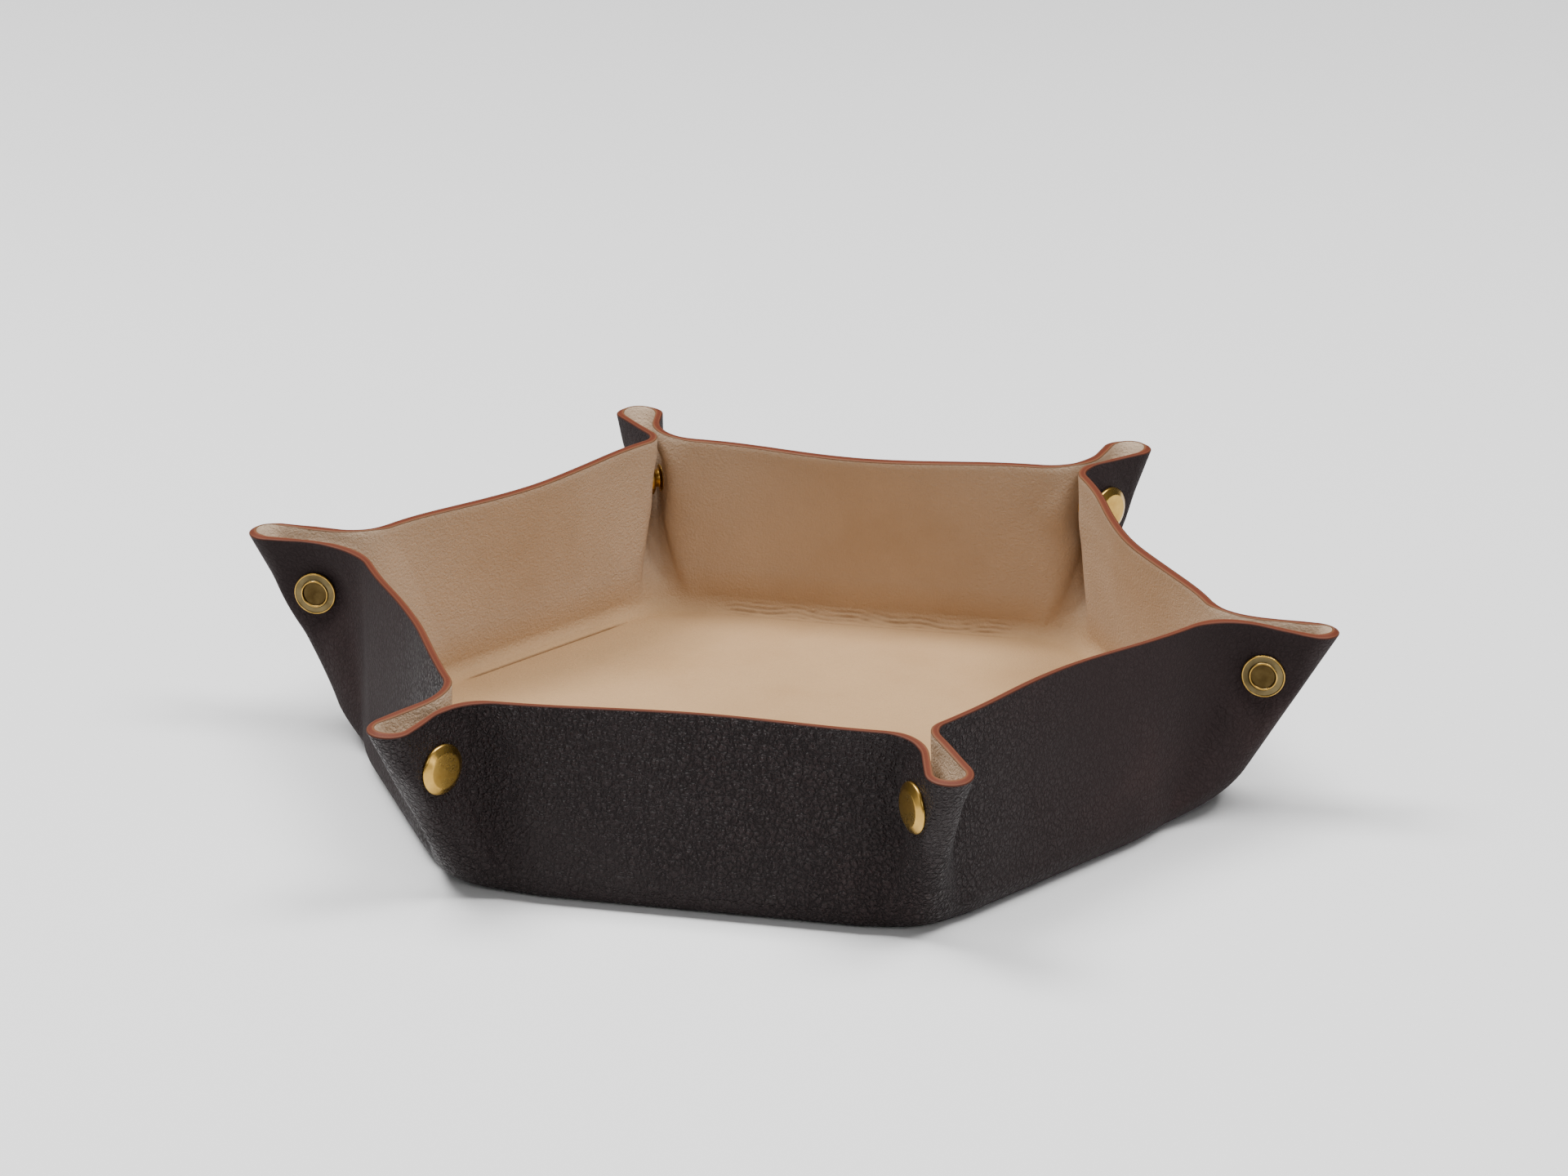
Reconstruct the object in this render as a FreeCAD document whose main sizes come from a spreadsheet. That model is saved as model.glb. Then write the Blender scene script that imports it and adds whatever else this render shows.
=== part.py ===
# Hexagonal snap-up valet tray: a lined leather sheet creased along a hexagonal floor,
# with six walls, twelve ear flanks pinched together in pairs at the corners, and six brass snaps.
import FreeCAD, Part
import math
import os
import Sketcher

Vector = FreeCAD.Vector
Rotation = FreeCAD.Rotation

doc = FreeCAD.newDocument("valet_tray")

# Driving sizes, all in millimetres and degrees.
SIZES = [
    ("outer_leather_thickness", 1.1),
    ("lining_thickness", 0.9),
    ("rim_height", 48.6),
    ("wall_lean_in", 6.0),
    ("crease_radius", 5.0),
    ("floor_corner_radius", 15.0),
    ("ear_reach", 134.2),
    ("ear_length", 27.04),
    ("ear_root_radius", 10.0),
    ("ear_loop_radius", 5.0),
    ("ear_waist_half", 3.0),
    ("fold_gap", 0.3),
    ("fold_gap_at_floor", 1.3),
    ("snap_from_fold", 8.65),
    ("snap_height", 34.6),
    ("cap_diameter", 12.0),
    ("cap_top_diameter", 8.6),
    ("cap_rim_height", 0.7),
    ("cap_height", 1.9),
    ("ring_diameter", 10.5),
    ("ring_recess_diameter", 7.2),
    ("ring_height", 1.3),
    ("ring_floor", 0.5),
    ("post_diameter", 3.2),
    ("post_hole_play", 0.4),
    ("socket_diameter", 10.4),
    ("socket_height", 2.9),
    ("socket_bore", 5.7),
    ("stud_flange_diameter", 9.6),
    ("stud_flange_height", 0.7),
    ("stud_head_diameter", 5.2),
    ("stud_neck_diameter", 4.7),
    ("spring_wire", 0.5),
    ("spring_play", 0.05),
    ("seat_play", 0.03),
    ("edge_break", 0.2),
    ("dome_fall", 0.2),
    ("cap_bevel", 0.3),
    ("cap_rivet_length", 1.6),
    ("ring_rivet_length", 1.4),
    ("rivet_play", 0.05),
    ("ring_crown_width", 0.5),
    ("ring_flange_rise", 0.65),
    ("ring_recess_slope", 0.4),
    ("socket_flange_height", 0.7),
    ("socket_step", 0.6),
    ("socket_lip", 0.5),
    ("stud_bead_height", 0.7),
    ("stud_head_taper", 0.6),
    ("stud_neck_flare", 0.3),
    ("stud_head_room", 1.75),
]
sheet = doc.addObject("Spreadsheet::Sheet", "sizes")
for row, (alias, value) in enumerate(SIZES, start=1):
    sheet.set("A%d" % row, alias)
    sheet.set("B%d" % row, str(value))
    sheet.setAlias("B%d" % row, alias)
doc.recompute()


def size(alias):
    return float(sheet.get(alias))


# The six walls by the compass angle of their outward normal; a capped wall carries two snap caps,
# the walls between carry the ring-backed studs.
WALLS = [
    ("front", 270.0, True),
    ("right_front", 330.0, False),
    ("right_back", 30.0, True),
    ("back", 90.0, False),
    ("left_back", 150.0, True),
    ("left_front", 210.0, False),
]

outer_t = size("outer_leather_thickness")
lining_t = size("lining_thickness")
half_t = 0.5 * (outer_t + lining_t)
OUTER = half_t
BOND = half_t - outer_t
INNER = -half_t
rim_z = size("rim_height")
reach = size("ear_reach")
# The ears stand out by their length from the corners of the rim, so the rim follows from the tips.
rim_d = (reach - size("ear_length")) * math.cos(math.pi / 6)
lean = math.radians(size("wall_lean_in"))
bend_r = size("crease_radius")
corner_r = size("floor_corner_radius")
root_r = size("ear_root_radius")
loop_r = size("ear_loop_radius")
waist = size("ear_waist_half")
half_gap = 0.5 * size("fold_gap")
half_floor_gap = 0.5 * size("fold_gap_at_floor")

COS30 = math.cos(math.pi / 6)
SIN30 = 0.5
bend_total = math.pi / 2 + lean
bend_mid = 0.5 * bend_total
# The bend of the crease ends where the leaning wall starts, so the centre line of the bend follows
# from the rim.
bend_end_z = bend_r + half_t - bend_r * math.cos(bend_total)
centre_d = rim_d + math.tan(lean) * (rim_z - bend_end_z) - bend_r * math.sin(bend_total)
corner_x = (centre_d - corner_r) / COS30

# Top edge of one half corner, in a frame with x outward along the corner and y toward the wall:
# wall line, root arc, straight flank and half of the loop.
root_c = ((rim_d + root_r - SIN30 * (waist + root_r)) / COS30, waist + root_r)
loop_c = (reach - loop_r, 0.0)
run = loop_c[0] - root_c[0]
flank_turn = math.asin((root_r + loop_r) / math.hypot(run, root_c[1])) - math.atan2(root_c[1], run)
root_a0 = math.radians(210.0)
root_a2 = math.radians(270.0) + flank_turn
root_a1 = 0.5 * (root_a0 + root_a2)
loop_a0 = math.radians(90.0) + flank_turn


def on_root(offset, angle):
    r = root_r - offset
    return (root_c[0] + r * math.cos(angle), root_c[1] + r * math.sin(angle))


def on_loop(offset, angle):
    r = loop_r + offset
    return (loop_c[0] + r * math.cos(angle), loop_c[1] + r * math.sin(angle))


root_len = root_r * (root_a2 - root_a0)
flank_a = on_root(0.0, root_a2)
flank_b = on_loop(0.0, loop_a0)
flank_len = math.hypot(flank_b[0] - flank_a[0], flank_b[1] - flank_a[1])
ear_len = root_len + flank_len + loop_r * loop_a0
SHARE_SPLIT = 0.5 * root_len / ear_len
SHARE_FLANK = root_len / ear_len
SHARE_LOOP = (root_len + flank_len) / ear_len


def bend_level(offset, angle):
    """Corner circle radius and height of the sheet at one angle of the crease bend."""
    out = (bend_r + offset) * math.sin(angle)
    return corner_r + out, bend_r + half_t - (bend_r + offset) * math.cos(angle)


def on_corner(radius, share):
    """A point of the floor's rounded corner: share 0 at the wall, 1 at the fold."""
    a = math.radians(30.0) * (1.0 - share)
    return (corner_x + radius * math.cos(a), radius * math.sin(a))


def arc(points, z):
    a, b, c = [Vector(p[0], p[1], z) for p in points]
    return Part.Arc(a, b, c).toShape()


def line(a, b):
    return Part.LineSegment(a, b).toShape()


def level_rows(offset, angles):
    """Each level of a panel: ("bend", radius, z) for the crease and one ("rim",) row on top."""
    rows = []
    for angle in angles:
        radius, z = bend_level(offset, angle)
        rows.append(("bend", radius, z))
    return rows + [("rim", offset, rim_z)]


def ear_edges(row):
    """Edges of one ear flank at one level, from the wall's side to the fold."""
    kind, value, z = row
    if kind == "bend":
        first = SHARE_SPLIT + half_gap / value / math.radians(30.0)
        last = 1.0 - half_floor_gap / value / math.radians(30.0)
        stops = [first, SHARE_FLANK, SHARE_LOOP, last]
        edges = []
        for a, b in zip(stops, stops[1:]):
            edges.append(arc([on_corner(value, s) for s in (a, 0.5 * (a + b), b)], z))
        return edges
    a1 = root_a1 + half_gap / root_r
    root = arc([on_root(value, a) for a in (a1, 0.5 * (a1 + root_a2), root_a2)], z)
    p = on_root(value, root_a2)
    q = on_loop(value, loop_a0)
    flank = line(Vector(p[0], p[1], z), Vector(q[0], q[1], z))
    end = half_gap / (loop_r + value)
    loop = arc([on_loop(value, a) for a in (loop_a0, 0.5 * (loop_a0 + end), end)], z)
    return [root, flank, loop]


def turned(point, degrees, mirror):
    x, y = point
    y = -y if mirror else y
    a = math.radians(degrees)
    return (x * math.cos(a) - y * math.sin(a), x * math.sin(a) + y * math.cos(a))


def wall_edges(row):
    """Edges of one wall at one level, in the frame of a wall whose normal is +X, from -Y to +Y."""
    kind, value, z = row
    if kind == "bend":
        last = SHARE_SPLIT - half_gap / value / math.radians(30.0)
        stops = [on_corner(value, s) for s in (last, 0.5 * last, 0.0)]
    else:
        a1 = root_a1 - half_gap / root_r
        stops = [on_root(value, a) for a in (a1, 0.5 * (a1 + root_a0), root_a0)]
    # The corner on the wall's -Y side stands at -30 degrees, the other at +30 degrees.
    low = [turned(p, -30.0, False) for p in stops]
    high = [turned(p, 30.0, True) for p in reversed(stops)]
    middle = line(Vector(low[2][0], low[2][1], z), Vector(high[0][0], high[0][1], z))
    return [arc(low, z), middle, arc(high, z)]


def ends(edge):
    return edge.valueAt(edge.FirstParameter), edge.valueAt(edge.LastParameter)


def closed(faces, label):
    shape = Part.Compound(faces)
    shape.sewShape()
    solid = Part.Solid(Part.Shell(shape.Faces))
    if solid.Volume < 0:
        solid.reverse()
    if not solid.isValid() or solid.Volume <= 0:
        raise RuntimeError("not a sound solid: " + label)
    return solid


def panel(near, far, label):
    """A panel between two stacks of levels, each level a chain of edges, closed with ruled faces."""
    faces = []
    for stack in (near, far):
        for low, high in zip(stack, stack[1:]):
            for a, b in zip(low, high):
                faces.append(Part.makeRuledSurface(a, b))
    for level in (0, -1):
        for a, b in zip(near[level], far[level]):
            faces.append(Part.makeRuledSurface(a, b))
    for side in (0, 1):
        pick = 0 if side == 0 else -1
        for i in range(len(near) - 1):
            a = [ends(near[j][pick])[side] for j in (i, i + 1)]
            b = [ends(far[j][pick])[side] for j in (i, i + 1)]
            faces.append(Part.makeRuledSurface(line(a[0], a[1]), line(b[0], b[1])))
    return closed(faces, label)


def steps(start, end, count):
    return [start + (end - start) * i / count for i in range(count + 1)]


crease_gap = half_gap / (bend_r + half_t)
FLOOR_ANGLES = steps(0.0, bend_mid - crease_gap, 3)
WALL_ANGLES = steps(bend_mid + crease_gap, bend_total, 3)


def floor_outline(row):
    """Closed outline of the floor at one level: six crease lines and six rounded corners."""
    radius, z = row[1], row[2]
    edges = []
    for k in range(6):
        here = [turned(on_corner(radius, 0.0), 60.0 * k, True), turned(on_corner(radius, 1.0), 60.0 * k, False)]
        here.append(turned(on_corner(radius, 0.0), 60.0 * k, False))
        after = turned(on_corner(radius, 0.0), 60.0 * (k + 1), True)
        edges.append(arc(here, z))
        edges.append(line(Vector(here[2][0], here[2][1], z), Vector(after[0], after[1], z)))
    return edges


def floor_panel(near_offset, far_offset, label):
    near = [floor_outline(r) for r in level_rows(near_offset, FLOOR_ANGLES)[:-1]]
    far = [floor_outline(r) for r in level_rows(far_offset, FLOOR_ANGLES)[:-1]]
    faces = []
    for stack in (near, far):
        faces.append(Part.Face(Part.Wire(stack[0])))
        for low, high in zip(stack, stack[1:]):
            for a, b in zip(low, high):
                faces.append(Part.makeRuledSurface(a, b))
    for a, b in zip(near[-1], far[-1]):
        faces.append(Part.makeRuledSurface(a, b))
    return closed(faces, label)


def add_leather(label, shape, degrees):
    item = doc.addObject("Part::Feature", label)
    item.Label = label
    item.Shape = shape
    item.Placement = FreeCAD.Placement(Vector(0, 0, 0), Rotation(Vector(0, 0, 1), degrees))
    return item


# A snap's axis stands in from the fold line, at the height of the snap.
snap_z = size("snap_height")
fold_r, fold_z = bend_level(0.0, bend_total)
fold_low = corner_x + fold_r
snap_x = fold_low + (reach - fold_low) * (snap_z - fold_z) / (rim_z - fold_z) - size("snap_from_fold")


# Where the ear's two faces stand under a snap: the highest outer and the lowest inner distance
# from the fold's plane over the footprint, read off the ruled ear itself.
def ear_point(offset, share, height):
    radius, z0 = bend_level(offset, bend_total)
    low = on_corner(radius, share)
    if share < SHARE_FLANK:
        high = on_root(offset, root_a0 + (root_a2 - root_a0) * share / SHARE_FLANK)
    elif share > SHARE_LOOP:
        high = on_loop(offset, loop_a0 * (1.0 - share) / (1.0 - SHARE_LOOP))
    else:
        part = (share - SHARE_FLANK) / (SHARE_LOOP - SHARE_FLANK)
        a = on_root(offset, root_a2)
        b = on_loop(offset, loop_a0)
        high = (a[0] + (b[0] - a[0]) * part, a[1] + (b[1] - a[1]) * part)
    s = (height - z0) / (rim_z - z0)
    return (low[0] + (high[0] - low[0]) * s, low[1] + (high[1] - low[1]) * s)


def seat(offset, diameter, pick):
    found = []
    for i in range(121):
        for j in range(-20, 21):
            height = snap_z + 0.5 * diameter * j / 20.0
            x, y = ear_point(offset, i / 120.0, height)
            if math.hypot(x - snap_x, height - snap_z) <= 0.5 * diameter:
                found.append(y)
    return pick(found)


seat_play = size("seat_play")
cap_seat = seat(OUTER, size("cap_diameter"), max) + seat_play
ring_seat = seat(OUTER, size("ring_diameter"), max) + seat_play
socket_seat = seat(INNER, size("socket_diameter"), min) - seat_play
stud_seat = seat(INNER, size("stud_flange_diameter"), min) - seat_play

hole_r = 0.5 * (size("post_diameter") + size("post_hole_play"))
hole = Part.makeCylinder(hole_r, waist + root_r, Vector(snap_x, 0.0, snap_z), Vector(0, 1, 0))

for label, near, far in (("floor_outer", OUTER, BOND), ("floor_lining", BOND, INNER)):
    add_leather(label, floor_panel(near, far, label), 0.0)

for layer, near, far in (("outer", OUTER, BOND), ("lining", BOND, INNER)):
    wall_near = [wall_edges(r) for r in level_rows(near, WALL_ANGLES)]
    wall_far = [wall_edges(r) for r in level_rows(far, WALL_ANGLES)]
    wall = panel(wall_near, wall_far, "wall_" + layer)
    ear_near = [ear_edges(r) for r in level_rows(near, WALL_ANGLES)]
    ear_far = [ear_edges(r) for r in level_rows(far, WALL_ANGLES)]
    left = panel(ear_near, ear_far, "ear_" + layer).cut(hole)
    right = left.mirror(Vector(0, 0, 0), Vector(0, 1, 0))
    for name, degrees, capped in WALLS:
        add_leather("wall_%s_%s" % (name, layer), wall, degrees)
        # Seen from outside, the wall's left ear stands at the corner 30 degrees clockwise.
        add_leather("ear_%s_left_%s" % (name, layer), left, degrees - 30.0)
        add_leather("ear_%s_right_%s" % (name, layer), right, degrees + 30.0)


def turned_body(label, profile):
    """A turned piece: a closed half profile of (radius, height) formulas, revolved about its own Z axis."""
    body = doc.addObject("PartDesign::Body", label)
    body.Label = label
    sketch = body.newObject("Sketcher::SketchObject", label + "_profile")
    plane = [f for f in body.Origin.OriginFeatures if f.Role == "XZ_Plane"][0]
    sketch.AttachmentSupport = [(plane, "")]
    sketch.MapMode = "FlatFace"
    values = [(formula_value(r), formula_value(h)) for r, h in profile]
    count = len(values)
    for i in range(count):
        a = values[i]
        b = values[(i + 1) % count]
        sketch.addGeometry(Part.LineSegment(Vector(a[0], a[1], 0), Vector(b[0], b[1], 0)), False)
    for i in range(count):
        sketch.addConstraint(Sketcher.Constraint("Coincident", i, 2, (i + 1) % count, 1))
    for i, (r, h) in enumerate(profile):
        if r == "0":
            sketch.addConstraint(Sketcher.Constraint("PointOnObject", i, 1, -2))
        else:
            n = sketch.addConstraint(Sketcher.Constraint("DistanceX", i, 1, values[i][0]))
            sketch.setExpression("Constraints[%d]" % n, r)
        if h == "0":
            sketch.addConstraint(Sketcher.Constraint("PointOnObject", i, 1, -1))
        else:
            n = sketch.addConstraint(Sketcher.Constraint("DistanceY", i, 1, values[i][1]))
            sketch.setExpression("Constraints[%d]" % n, h)
    turn = body.newObject("PartDesign::Revolution", label + "_turned")
    turn.Profile = sketch
    turn.ReferenceAxis = (sketch, ["V_Axis"])
    turn.Angle = 360.0
    sketch.Visibility = False
    return body


def formula_value(text):
    """Start value of a formula: sums and differences of plain numbers and scaled cells."""
    total = 0.0
    for term in text.replace("- ", "+ -").split("+ "):
        term = term.strip()
        sign = -1.0 if term.startswith("-") else 1.0
        factor = 1.0
        for piece in term.lstrip("-").split("*"):
            piece = piece.strip()
            factor *= size(piece.split(".")[1]) if piece.startswith("sizes.") else float(piece)
        total += sign * factor
    return total


# Cap: a domed brass head on the dark face, its hollow post reaching through the leather.
CAP_SHANK = "-1 * sizes.outer_leather_thickness - 1 * sizes.lining_thickness - 1 * sizes.cap_rivet_length"
CAP = [
    ("0", "sizes.cap_height"),
    ("0.25 * sizes.cap_top_diameter", "sizes.cap_height - 0.25 * sizes.dome_fall"),
    ("0.5 * sizes.cap_top_diameter", "sizes.cap_height - 1 * sizes.dome_fall"),
    ("0.5 * sizes.cap_diameter - 1 * sizes.cap_bevel", "sizes.cap_rim_height + 1 * sizes.edge_break"),
    ("0.5 * sizes.cap_diameter", "sizes.cap_rim_height - 0.5 * sizes.cap_bevel"),
    ("0.5 * sizes.cap_diameter", "sizes.edge_break"),
    ("0.5 * sizes.cap_diameter - 1 * sizes.edge_break", "0"),
    ("0.5 * sizes.post_diameter", "0"),
    ("0.5 * sizes.post_diameter", CAP_SHANK),
    ("0", CAP_SHANK),
]
# Socket: a flanged cup on the tan face, open toward the stud, its floor riveted over the cap's post.
SOCKET_CUP = "0.5 * sizes.socket_bore + 0.5 * sizes.spring_wire + 0.5 * sizes.spring_wire + 1 * sizes.edge_break"
SOCKET_HOLE = "0.5 * sizes.post_diameter + 1 * sizes.rivet_play"
SOCKET_LIP = "sizes.socket_height - 1 * sizes.socket_lip"
SOCKET = [
    (SOCKET_HOLE, "0"),
    ("0.5 * sizes.socket_diameter - 1 * sizes.edge_break", "0"),
    ("0.5 * sizes.socket_diameter", "sizes.edge_break"),
    ("0.5 * sizes.socket_diameter", "sizes.socket_flange_height"),
    ("0.5 * sizes.socket_diameter - 1 * sizes.socket_step", "sizes.socket_flange_height + 1 * sizes.edge_break"),
    ("0.5 * sizes.socket_diameter - 1 * sizes.socket_step - 1 * sizes.edge_break",
     "sizes.socket_height - 1 * sizes.edge_break"),
    ("0.5 * sizes.socket_diameter - 1 * sizes.socket_step - 2 * sizes.edge_break", "sizes.socket_height"),
    ("0.5 * sizes.socket_bore", "sizes.socket_height"),
    ("0.5 * sizes.socket_bore", SOCKET_LIP),
    (SOCKET_CUP, SOCKET_LIP),
    (SOCKET_CUP, "sizes.socket_flange_height"),
    (SOCKET_HOLE, "sizes.socket_flange_height"),
]
# Post: the ring-faced back of the stud on the dark face, with a sunk centre and its rivet shank.
RING_SHANK = "-1 * sizes.outer_leather_thickness - 1 * sizes.lining_thickness - 1 * sizes.ring_rivet_length"
POST = [
    ("0", "sizes.ring_floor"),
    ("0.5 * sizes.ring_recess_diameter - 1 * sizes.ring_recess_slope", "sizes.ring_floor"),
    ("0.5 * sizes.ring_recess_diameter", "sizes.ring_height"),
    ("0.5 * sizes.ring_recess_diameter + 1 * sizes.ring_crown_width", "sizes.ring_height"),
    ("0.5 * sizes.ring_diameter - 1 * sizes.cap_bevel", "sizes.ring_flange_rise"),
    ("0.5 * sizes.ring_diameter", "sizes.ring_flange_rise - 1 * sizes.cap_bevel"),
    ("0.5 * sizes.ring_diameter", "sizes.edge_break"),
    ("0.5 * sizes.ring_diameter - 1 * sizes.edge_break", "0"),
    ("0.5 * sizes.post_diameter", "0"),
    ("0.5 * sizes.post_diameter", RING_SHANK),
    ("0", RING_SHANK),
]
# Stud: a flanged foot on the tan face and a beaded head that snaps into the socket.
STUD_HOLE = "0.5 * sizes.post_diameter + 1 * sizes.rivet_play"
STUD_TAPER = "sizes.stud_head_height - 1 * sizes.stud_head_taper"
STUD_BEAD = STUD_TAPER + " - 1 * sizes.stud_bead_height"
STUD = [
    (STUD_HOLE, "0"),
    ("0.5 * sizes.stud_flange_diameter - 1 * sizes.edge_break", "0"),
    ("0.5 * sizes.stud_flange_diameter", "sizes.edge_break"),
    ("0.5 * sizes.stud_flange_diameter", "sizes.stud_flange_height - 1 * sizes.edge_break"),
    ("0.5 * sizes.stud_flange_diameter - 1 * sizes.edge_break", "sizes.stud_flange_height"),
    ("0.5 * sizes.stud_neck_diameter", "sizes.stud_flange_height"),
    ("0.5 * sizes.stud_neck_diameter", STUD_BEAD + " - 1 * sizes.stud_neck_flare"),
    ("0.5 * sizes.stud_head_diameter", STUD_BEAD),
    ("0.5 * sizes.stud_head_diameter", STUD_TAPER),
    ("0.5 * sizes.stud_head_diameter - 1 * sizes.stud_head_taper", "sizes.stud_head_height"),
    (STUD_HOLE, "sizes.stud_head_height"),
]

# Values that follow from the driving sizes: the rim, the snap's axis, and the stud's head, whose
# height comes from the distance between the two flanks.
head_height = stud_seat + socket_seat - size("stud_head_room")
FOLLOWING = [("rim_inradius", rim_d), ("snap_reach", snap_x), ("stud_head_height", head_height)]
for row, (alias, value) in enumerate(FOLLOWING, start=len(SIZES) + 1):
    sheet.set("A%d" % row, alias)
    sheet.set("B%d" % row, "%.4f" % value)
    sheet.setAlias("B%d" % row, alias)
doc.recompute()

cap_pattern = turned_body("pattern_cap", CAP)
socket_pattern = turned_body("pattern_socket", SOCKET)
post_pattern = turned_body("pattern_post", POST)
stud_pattern = turned_body("pattern_stud", STUD)
spring_pattern = doc.addObject("Part::Torus", "pattern_spring")
spring_pattern.Label = "pattern_spring"
spring_pattern.setExpression("Radius1", "0.5 * sizes.socket_bore + 0.5 * sizes.spring_wire + sizes.edge_break - sizes.spring_play")
spring_pattern.setExpression("Radius2", "0.5 * sizes.spring_wire")
spring_pattern.setExpression("Placement.Base.z", "sizes.socket_height - sizes.socket_lip - sizes.spring_play - 0.5 * sizes.spring_wire")
doc.recompute()


def placed(label, patterns, point, direction):
    """The patterns as one piece, its base at point and its own Z axis along direction."""
    item = doc.addObject("Part::Compound", label)
    item.Label = label
    item.Links = patterns
    item.Placement = FreeCAD.Placement(Vector(*point), Rotation(Vector(0, 0, 1), Vector(*direction)))
    return item


snap_items = []
for name, degrees, capped in WALLS:
    for side, corner, mirror in (("left", degrees - 30.0, False), ("right", degrees + 30.0, True)):
        out = turned((0.0, 1.0), corner, mirror)
        away = (out[0], out[1], 0.0)
        toward = (-out[0], -out[1], 0.0)
        spot = {}
        for key, value in (("cap", cap_seat), ("ring", ring_seat), ("socket", socket_seat), ("stud", stud_seat)):
            p = turned((snap_x, value), corner, mirror)
            spot[key] = (p[0], p[1], snap_z)
        tail = "%s_%s" % (name, side)
        if capped:
            snap_items.append(placed("snap_cap_" + tail, [cap_pattern], spot["cap"], away))
            snap_items.append(placed("snap_socket_" + tail, [socket_pattern, spring_pattern], spot["socket"], toward))
        else:
            post = placed("post_" + tail, [post_pattern], spot["ring"], away)
            stud = placed("stud_" + tail, [stud_pattern], spot["stud"], toward)
            pair = doc.addObject("Part::Compound", "snap_stud_" + tail)
            pair.Label = "snap_stud_" + tail
            pair.Links = [post, stud]
            snap_items.append(pair)
doc.recompute()

for item in doc.Objects:
    if "Invalid" in item.State or "Error" in item.State:
        raise RuntimeError("failed to build: " + item.Label)

os.makedirs("parts", exist_ok=True)
pieces = [o for o in doc.Objects if o.TypeId == "Part::Feature"] + snap_items
for item in pieces:
    if not item.Shape.isValid() or not item.Shape.Solids:
        raise RuntimeError("unsound piece: " + item.Label)
    item.Shape.exportStep("parts/%s.step" % item.Label)
print("pieces", len(pieces), "seats", cap_seat, ring_seat, socket_seat, stud_seat, "rim", rim_d, "snap", snap_x, "floor centre", centre_d)
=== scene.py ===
import math
from collections import namedtuple
from functools import partial

import bpy
import numpy as np
from bpy.props import FloatProperty, FloatVectorProperty, PointerProperty
from bpy.types import Operator, Panel, PropertyGroup
from mathutils import Matrix, Vector


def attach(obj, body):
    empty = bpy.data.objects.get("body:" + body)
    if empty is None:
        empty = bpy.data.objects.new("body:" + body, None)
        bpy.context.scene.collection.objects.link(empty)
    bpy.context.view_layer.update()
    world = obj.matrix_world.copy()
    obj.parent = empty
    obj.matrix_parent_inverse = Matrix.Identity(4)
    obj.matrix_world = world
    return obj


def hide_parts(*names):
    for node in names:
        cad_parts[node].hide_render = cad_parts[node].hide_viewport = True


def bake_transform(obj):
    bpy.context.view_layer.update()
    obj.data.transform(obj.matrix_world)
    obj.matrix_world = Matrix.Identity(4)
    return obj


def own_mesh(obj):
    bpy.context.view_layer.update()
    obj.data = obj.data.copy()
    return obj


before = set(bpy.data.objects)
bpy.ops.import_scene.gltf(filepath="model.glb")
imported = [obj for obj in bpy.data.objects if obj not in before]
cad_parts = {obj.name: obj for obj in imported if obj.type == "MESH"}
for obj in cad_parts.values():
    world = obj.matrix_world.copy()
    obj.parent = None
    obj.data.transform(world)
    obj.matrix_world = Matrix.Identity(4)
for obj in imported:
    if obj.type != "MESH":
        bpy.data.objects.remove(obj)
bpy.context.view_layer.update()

bl_info = {
    "name": "Snap-up valet tray",
    "version": (1, 0, 0),
    "blender": (4, 5, 0),
    "location": "3D View > Sidebar > Valet tray",
    "description": "Lined leather tray whose six corners are pinched into ears by brass snaps",
    "category": "Object",
}

MM = 0.001
HALF_CORNER = math.pi / 6
SIN_HALF = 0.5

# Each wall by the plan angle of its outward normal.
WALLS = {
    "right_back": 30,
    "back": 90,
    "left_back": 150,
    "left_front": 210,
    "front": 270,
    "right_front": 330,
}
CAPPED_WALLS = ("front", "right_back", "left_back")

# One ear, in millimetres: the tip's reach and lift, the loop's radius, the throat's half width, the
# floor's plan radius and the fold's bend radius under it, the share of that bend that stays with the
# floor's edge when the tray unfolds, and the snap's shift along the ear and upward. The pairs are for
# the flank clockwise and the flank counter-clockwise of the fold: the root's bend radius, the rim's
# lift, the flank's distance from the mid plane at the snap, and there its turn in plan toward the tip,
# in degrees.
Corner = namedtuple(
    "Corner", "reach lift loop throat floor_radius fold_bend foot snap_shift roots rim_lifts seats turns",
    defaults=((0.0, 0.0), (3.6, 3.6), (0.0, 0.0)))

# Each corner by its plan angle.
CORNERS = {
    0: Corner(133.4, -3.6, 4.7, 4.0, 66.0, 19.0, 0.4, (0.0, 0.0), (18.0, 16.0), (-0.5, -2.8)),
    60: Corner(133.7, 0.6, 5.3, 1.6, 22.0, 8.0, 0.5, (-1.6, 2.4), (9.0, 14.0)),
    120: Corner(133.0, 0.4, 5.2, 1.6, 22.0, 8.0, 0.5, (0.0, 0.0), (14.0, 6.0)),
    180: Corner(132.8, 0.4, 5.4, 5.0, 62.0, 16.0, 0.6, (-1.4, 1.0), (14.0, 23.0)),
    240: Corner(133.0, -3.6, 4.6, 2.0, 38.0, 12.5, 0.5, (0.8, -0.8), (13.0, 14.0), (-0.4, -2.2), (2.2, 4.0)),
    300: Corner(
        130.8, -3.8, 4.5, 2.0, 26.0, 9.0, 0.5, (0.3, 0.0), (12.0, 7.0), (-1.1, 0.0), (4.2, 2.0), (8.0, 0.0)),
}

# How far each wall's rim bows inward at mid span, in millimetres, and how hard the lower and the upper
# line of its crease are pressed.
WALL_BOW = {
    "right_back": 4.8,
    "back": 6.0,
    "left_back": 4.5,
    "left_front": 2.0,
    "front": 2.5,
    "right_front": 3.7,
}
# The press deepens each crease's groove and, in the lining, its painted shade.
CREASE_PRESS = {
    "right_back": (0.8, 0.6),
    "back": (0.15, 0.1),
    "left_back": (1.0, 0.06),
    "left_front": (0.8, 0.4),
    "front": (0.3, 0.2),
    "right_front": (0.8, 0.4),
}

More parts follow.
